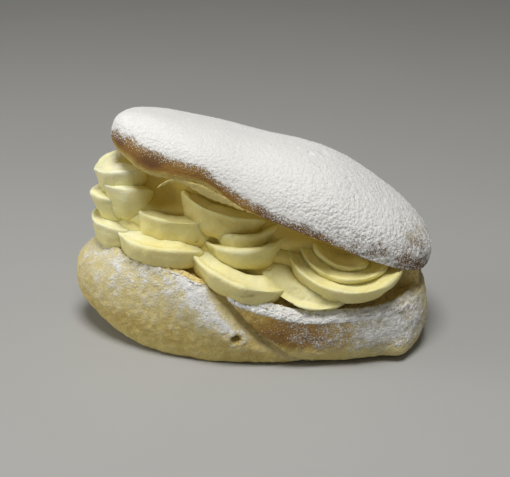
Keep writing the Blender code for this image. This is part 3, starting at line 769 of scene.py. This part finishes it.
def crust_zones(shell):
    """Distance from the crease, and the shares of the base that are its front, lip, lobe and valley."""
    x, y, z = shell.plain.T
    along = x - crease_x(z) + rough(shell.plain, *CREASE_WANDER)
    front = ease(-y, *FRONT_FROM)
    lip = ease(along, *LIP_FROM) * front
    lobe = ease(along + VALLEY_WIDTH, *LOBE_FROM, 1, 0) * front
    return along, front, lip, lobe, front * (1 - lip) * (1 - lobe)


def cut_depth(shell):
    """How far in from the rim each point of the cut face lies."""
    inward = np.clip(shell.level - 2, 0, 0.99)
    return inward / (1 - inward) * np.hypot(shell.plain[:, 0], shell.plain[:, 1])


def roughen_base(shell, valley, depth, cut):
    """Waves, puckers and pits of the crust, its ragged rim and the torn lumps of the cut face."""
    level = shell.level
    side = ease(level, 1.02, 1.1) * ease(level, 2.0, 2.01, 1, 0)
    puckers = rough(shell.points, *BASE_PUCKERS) * (0.24 + 0.14 * valley)
    puckers = puckers + lumps(shell.points, 2.6, 33) * 0.16 - pits(shell.points, 1.6, 49) * (0.2 + valley)
    shell.push((rough(shell.points, *BASE_WAVES) + puckers) * side)
    ragged = ease(level, 1.94, 2.0) * ease(depth, 1.5, 4, 1, 0)
    shell.push((rough(shell.points, *BASE_TORN) + lumps(shell.points, 1.3, 38) * 0.5) * ragged)
    shell.push((lumps(shell.points, 2.2, 39) * 0.9 - 0.4) * cut)


def dust_base(shell, zones, depth, cut):
    """Masks of the base: dust on the lobe and its crest, a white band and thin dust on the browned lip,
    and open crumb in the cut."""
    x, _, z = shell.plain.T
    level = shell.level
    along, front, lip, lobe, valley = zones
    mottle = rough(shell.points, *MOTTLE_WIDE) + rough(shell.points, *MOTTLE_FINE)
    crest = hump(along, -VALLEY_WIDTH - 1, CREST_DUST_HALF) * ease(z, *CREST_DUST_UP) * front
    dust = ease(level, *DUST_LEVEL) * DUST_MOST + mottle
    sugar = dust * (lobe + (1 - front) * DUST_BEHIND) + crest * CREST_DUST * (1 - lip)
    lip_dust = ease(level, *LIP_DUST_LEVEL) * (1 - LIP_BARE * hump(x, *LIP_BARE_X))
    lip_dust = LIP_DUST + lip_dust + ease(x, *LIP_DUST_RIGHT) + mottle * 0.8
    sugar = sugar * (1 - lip) + lip * lip_dust
    sugar = (sugar * (1 - valley * 0.5) + valley * VALLEY_DUST) * (1 - cut)
    band = ease(level, *BAND_LEVEL) * ease(depth, BEVEL_WIDTH - 0.4, BEVEL_WIDTH + 0.8, 1, 0)
    sugar = np.maximum(sugar, band * lip * ease(x, *BAND_DUST))
    brown = lip * (hump(x, *LIP_BROWN_X) * LIP_BROWN + LIP_BROWN_LEAST) * hump(level, *LIP_BROWN_LEVEL)
    brown = brown + BASE_BROWN + LOBE_BROWN * (1 - lip) * hump(level, *LOBE_BROWN_LEVEL)
    return {"sugar": sugar, "brown": brown, "crumb": cut * (1 - lip * band), "clumps": 0.3 + 0.5 * lip}


def press_hole(shell):
    """Presses the air hole into the front of the base, with a torn fringe that the sugar lies on."""
    x, y, z = shell.plain.T
    wander = noise(shell.points, 1.1, 43) * 0.55 + noise(shell.points, 0.6, 44) * 0.25
    away = np.hypot(x - HOLE_AT[0], z - HOLE_AT[1]) + wander
    near = (y < -20) & (shell.level < 2)
    shell.push(-ease(away, HOLE_RADIUS * 0.5, HOLE_RADIUS, HOLE_DEPTH, 0) * near)
    ring = hump(away, HOLE_RADIUS * 1.35, HOLE_RADIUS * 0.5) * near
    fringe = ring * ease(noise(shell.points, 2.0, 45), -0.7, 0.2)
    shell.push(fringe * 0.3)
    clean = np.where(near, ease(away, HOLE_RADIUS * 0.6, HOLE_RADIUS), 1)
    shell.masks["sugar"] = np.maximum(shell.masks["sugar"] * clean, fringe * 0.7)


def raise_fleck(shell):
    """Raises the fleck of thick sugar at the right end."""
    fleck = hump(np.linalg.norm((shell.points - FLECK_AT) / FLECK_SIZE, axis=1), 0, 1)
    shell.push(fleck * 0.5)
    shell.masks["sugar"] = np.maximum(shell.masks["sugar"], fleck * 1.3)


def base_crust():
    """Base: pale crust with the lobe, valley, crease and lip, its torn upper edge and the air hole, with
    nothing lower than the sole."""
    sole, side = np.linspace(0, 1, 9)[:-1], np.linspace(1, 2, 112)[:-1]
    face = 2 + np.linspace(0, 1, 56) ** 2.0
    shell = Shell(base_surface, np.concatenate([sole, side, face]), BASE_MERIDIANS, near_front)
    zones, depth = crust_zones(shell), cut_depth(shell)
    cut = ease(depth, 0.2, 1.2) * (shell.level > 1.5)
    roughen_base(shell, zones[-1], depth, cut)
    shell.masks = dust_base(shell, zones, depth, cut)
    press_hole(shell)
    raise_fleck(shell)
    shell.points[:, 2] = np.maximum(shell.points[:, 2], 0)
    return shell


def web_bread():
    """Web of torn and stretched bread at the closed end."""
    shell = Shell(web_surface, np.linspace(0, 1, 90) ** 1.3, WEB_SIDES)
    shell.push(rough(shell.points, *WEB_TORN))
    shell.fill(sugar=0.0, brown=0.25, crumb=0.75)
    return shell


def flap_surface(turn, level):
    """Torn skin under the lid's edge: a thin strip hanging from a line of two parabolas, its width a hump
    with a ragged lower edge, drawn to a free tip at the left that curls down."""
    x = FLAP_FROM + (FLAP_TO - FLAP_FROM) * level
    line = FLAP_Z - np.where(x < FLAP_TOP, FLAP_CURL, FLAP_FALL) * (x - FLAP_TOP) ** 2
    wide = FLAP_TIP + FLAP_WIDE * hump(x, FLAP_MIDDLE, FLAP_HALF) + 0.3 * np.sin(4 * x) * np.sin(1.7 * x)
    wide = wide * np.clip(np.minimum(level, 1 - level) / 0.08, 0.02, 1) ** 0.5
    y = FLAP_Y - 0.15 * np.maximum(x - FLAP_TOP, 0) + np.sin(turn) * FLAP_THICK / 2
    return x, y - np.cos(turn) * wide * 0.12, line - wide * (1 - np.cos(turn)) / 2


def skin_flap():
    """The strip of torn skin under the lid's front edge."""
    shell = Shell(flap_surface, np.linspace(0, 1, 110), 32)
    shell.push(rough(shell.points, *FLAP_CREASES))
    shell.fill(sugar=0.0, brown=0.1, crumb=0.3)
    return shell


def shade_under_lid(points):
    """Painted shade under the lid: from 0 in the open to 1 close under the lid, where the cream's colour is
    painted deeper.
    """
    x, _, z = points.T
    return ease(z + 0.24 * x, 44, 60) * ease(x, -48, -38)


def cream_core():
    """Body of the cream, with soft folds that run round it as the piping left them, a pocket in the shade
    under the lid and a bulge beside it.
    Its colour carries painted light: paler at the left end, and painted shade in the pocket and under the
    lid."""
    shell = Shell(core_surface, np.linspace(0, 3, 150), CORE_MERIDIANS)
    x, y, z = shell.plain.T
    folds = np.sin((z + 0.4 * x + 4 * noise(shell.points, 12, 63)) * 2 * np.pi / 9.0)
    wall = ease(shell.level, 1.0, 1.2) * ease(shell.level, 1.8, 2.0, 1, 0)
    shell.push((folds * 0.8 + rough(shell.points, *CORE_WAVES)) * wall)
    pocket = hump(x, *POCKET_X) * hump(z, *POCKET_Z)
    bulge = hump(x, *BULGE_X) * hump(z, *BULGE_Z)
    shell.push((CORE_FORWARD + bulge * BULGE_OUT - pocket * POCKET_DEPTH) * ease(-y, 5, 15) * wall)
    # Painted light: a painted highlight at the lit left end, painted shade in the pocket and under the lid.
    crest = 0.3 + 0.3 * ease(-x, 35, 50) - 0.4 * pocket - 0.2 * shade_under_lid(shell.points)
    shell.masks = {"sugar": np.zeros(len(x)), "crest": crest}
    return shell


def cream_ribbon(name, number):
    """One coiled ribbon: a crisp crest, faint nozzle lines, and soft waves and pits along it, its colour
    painted paler on its lit upper side, crest and left end and painted darker under the lid.
    """
    shape = SWIRLS[name]
    length = np.radians(shape[4] - shape[3]) * shape[5]
    levels = np.linspace(0, 1, int(length / RIBBON_STEP))
    shell = Shell(lambda turn, level: swirl_surface(shape, turn, level), levels, RIBBON_SIDES)
    taper = np.clip(np.minimum(shell.level, 1 - shell.level) * length / TIP_LENGTH, 0, 1)
    crest = hump(shell.turn, CREST_AT + 0.1, 0.22) * 0.35
    lines = 0.1 * np.sin(shell.turn * 14) * ease(-np.cos(shell.turn), -0.9, 0.2, 1, 0)
    size, layers, depth = RIBBON_WAVES
    waves = rough(shell.points, size, RIBBON_SEED + number, layers, depth)
    shell.push((crest + lines + waves - pits(shell.points, 1.5, 83)) * taper)
    x, _, z = shell.points.T
    dusted = 0.62 if name == "swirl_left_top" else 0
    # Painted light: a painted highlight on the upper side, the crest and the left end, and painted shade on
    # the lower side and under the lid.
    pale = 0.4 + 0.3 * np.sin(shell.turn) + 0.15 * hump(shell.turn, CREST_AT, 0.3)
    pale = pale + 0.15 * ease(-x, 35, 50) - 0.25 * shade_under_lid(shell.points)
    shell.masks = {"sugar": ease(z, 69, 75) * dusted, "crest": pale}
    return shell


def lamp(name, place, power, colour):
    """Round soft light at a place, turned to the bun."""
    data = bpy.data.lights.new(name, "AREA")
    data.shape = "DISK"
    data.size = LAMP_SIZE
    data.energy = power
    data.color = colour
    light = bpy.data.objects.new(name, data)
    light.location = place
    light.rotation_euler = (CAMERA_TARGET - Vector(place)).to_track_quat("-Z", "Y").to_euler()
    bpy.context.scene.collection.objects.link(light)


def studio():
    """Pale floor, soft lamps above and at the left, and the camera at the viewing angle."""
    floor_mesh = bpy.data.meshes.new("floor")
    floor_mesh.from_pydata([(-5, -5, 0), (5, -5, 0), (5, 5, 0), (-5, 5, 0)], [], [(0, 1, 2, 3)])
    floor = bpy.data.objects.new("floor", floor_mesh)
    bpy.context.scene.collection.objects.link(floor)
    paper = Finish("floor_paper", Roughness=0.8)
    colour = paper.blend(rgb(*PAPER_DARK), rgb(*PAPER_PALE), paper.grain(PAPER_PATCHES, 2))
    floor_mesh.materials.append(paper.surface(colour))

    for name, settings in LAMPS.items():
        lamp(name, *settings)
    world = bpy.data.worlds.new("room")
    bpy.context.scene.world = world
    world.use_nodes = True
    background = world.node_tree.nodes["Background"]
    background.inputs["Color"].default_value = ROOM_COLOUR
    background.inputs["Strength"].default_value = ROOM_LIGHT

    turn, rise = math.radians(CAMERA_TURN), math.radians(CAMERA_RISE)
    back = Vector((math.sin(turn) * math.cos(rise), -math.cos(turn) * math.cos(rise), math.sin(rise)))
    data = bpy.data.cameras.new("camera")
    data.lens = CAMERA_LENS
    data.sensor_width = CAMERA_SENSOR
    data.clip_start = 0.01
    camera = bpy.data.objects.new("camera", data)
    camera.location = CAMERA_TARGET + back * CAMERA_AWAY
    camera.rotation_euler = back.to_track_quat("Z", "Y").to_euler()
    bpy.context.scene.collection.objects.link(camera)
    bpy.context.scene.camera = camera
    bpy.context.scene.view_settings.view_transform = "Standard"


def dress_bun():
    """Makes every piece of the bun in the place of its two solids."""
    bread, cream = bread_finish(), cream_finish()
    lid, base = lid_crust(), base_crust()
    write_shells("bun_lid", [lid], bread, "bun")
    write_shells("bun_base", [base], bread, "bun")
    write_shells("bun_web", [web_bread()], bread, "bun")
    write_shells("skin_flap", [skin_flap()], bread)
    write_shells("cream_core", [cream_core()], cream, "cream")
    ribbons = [cream_ribbon(name, number) for number, name in enumerate(SWIRLS)]
    write_shells("cream_ribbons", ribbons, cream, "cream")

    sugared = {"sugar": 1.0, "brown": 0.0, "crumb": 0.0}
    crumby = {"sugar": 0.45, "brown": 0.0, "crumb": 0.2}
    fringe = hump(lid.masks["sugar"], 0.5, 0.5) + 0.12 * (lid.level > 1.5)
    scatter("sugar_on_lid", lid, fringe, GRAINS, GRAIN_SIZE, 0, bread, 5, sugared)
    dusted = base.masks["sugar"] * (base.level < 2.06) * (base.points[:, 2] > 1)
    scatter("sugar_on_base", base, dusted, GRAINS // 2, GRAIN_SIZE, 0, bread, 7, sugared)
    torn = hump(base.level, 2.06, 0.06) * (base.points[:, 1] < 5)
    scatter("crumbs", base, torn, CRUMBS, CRUMB_SIZE, 1, bread, 9, crumby)


dress_bun()
studio()
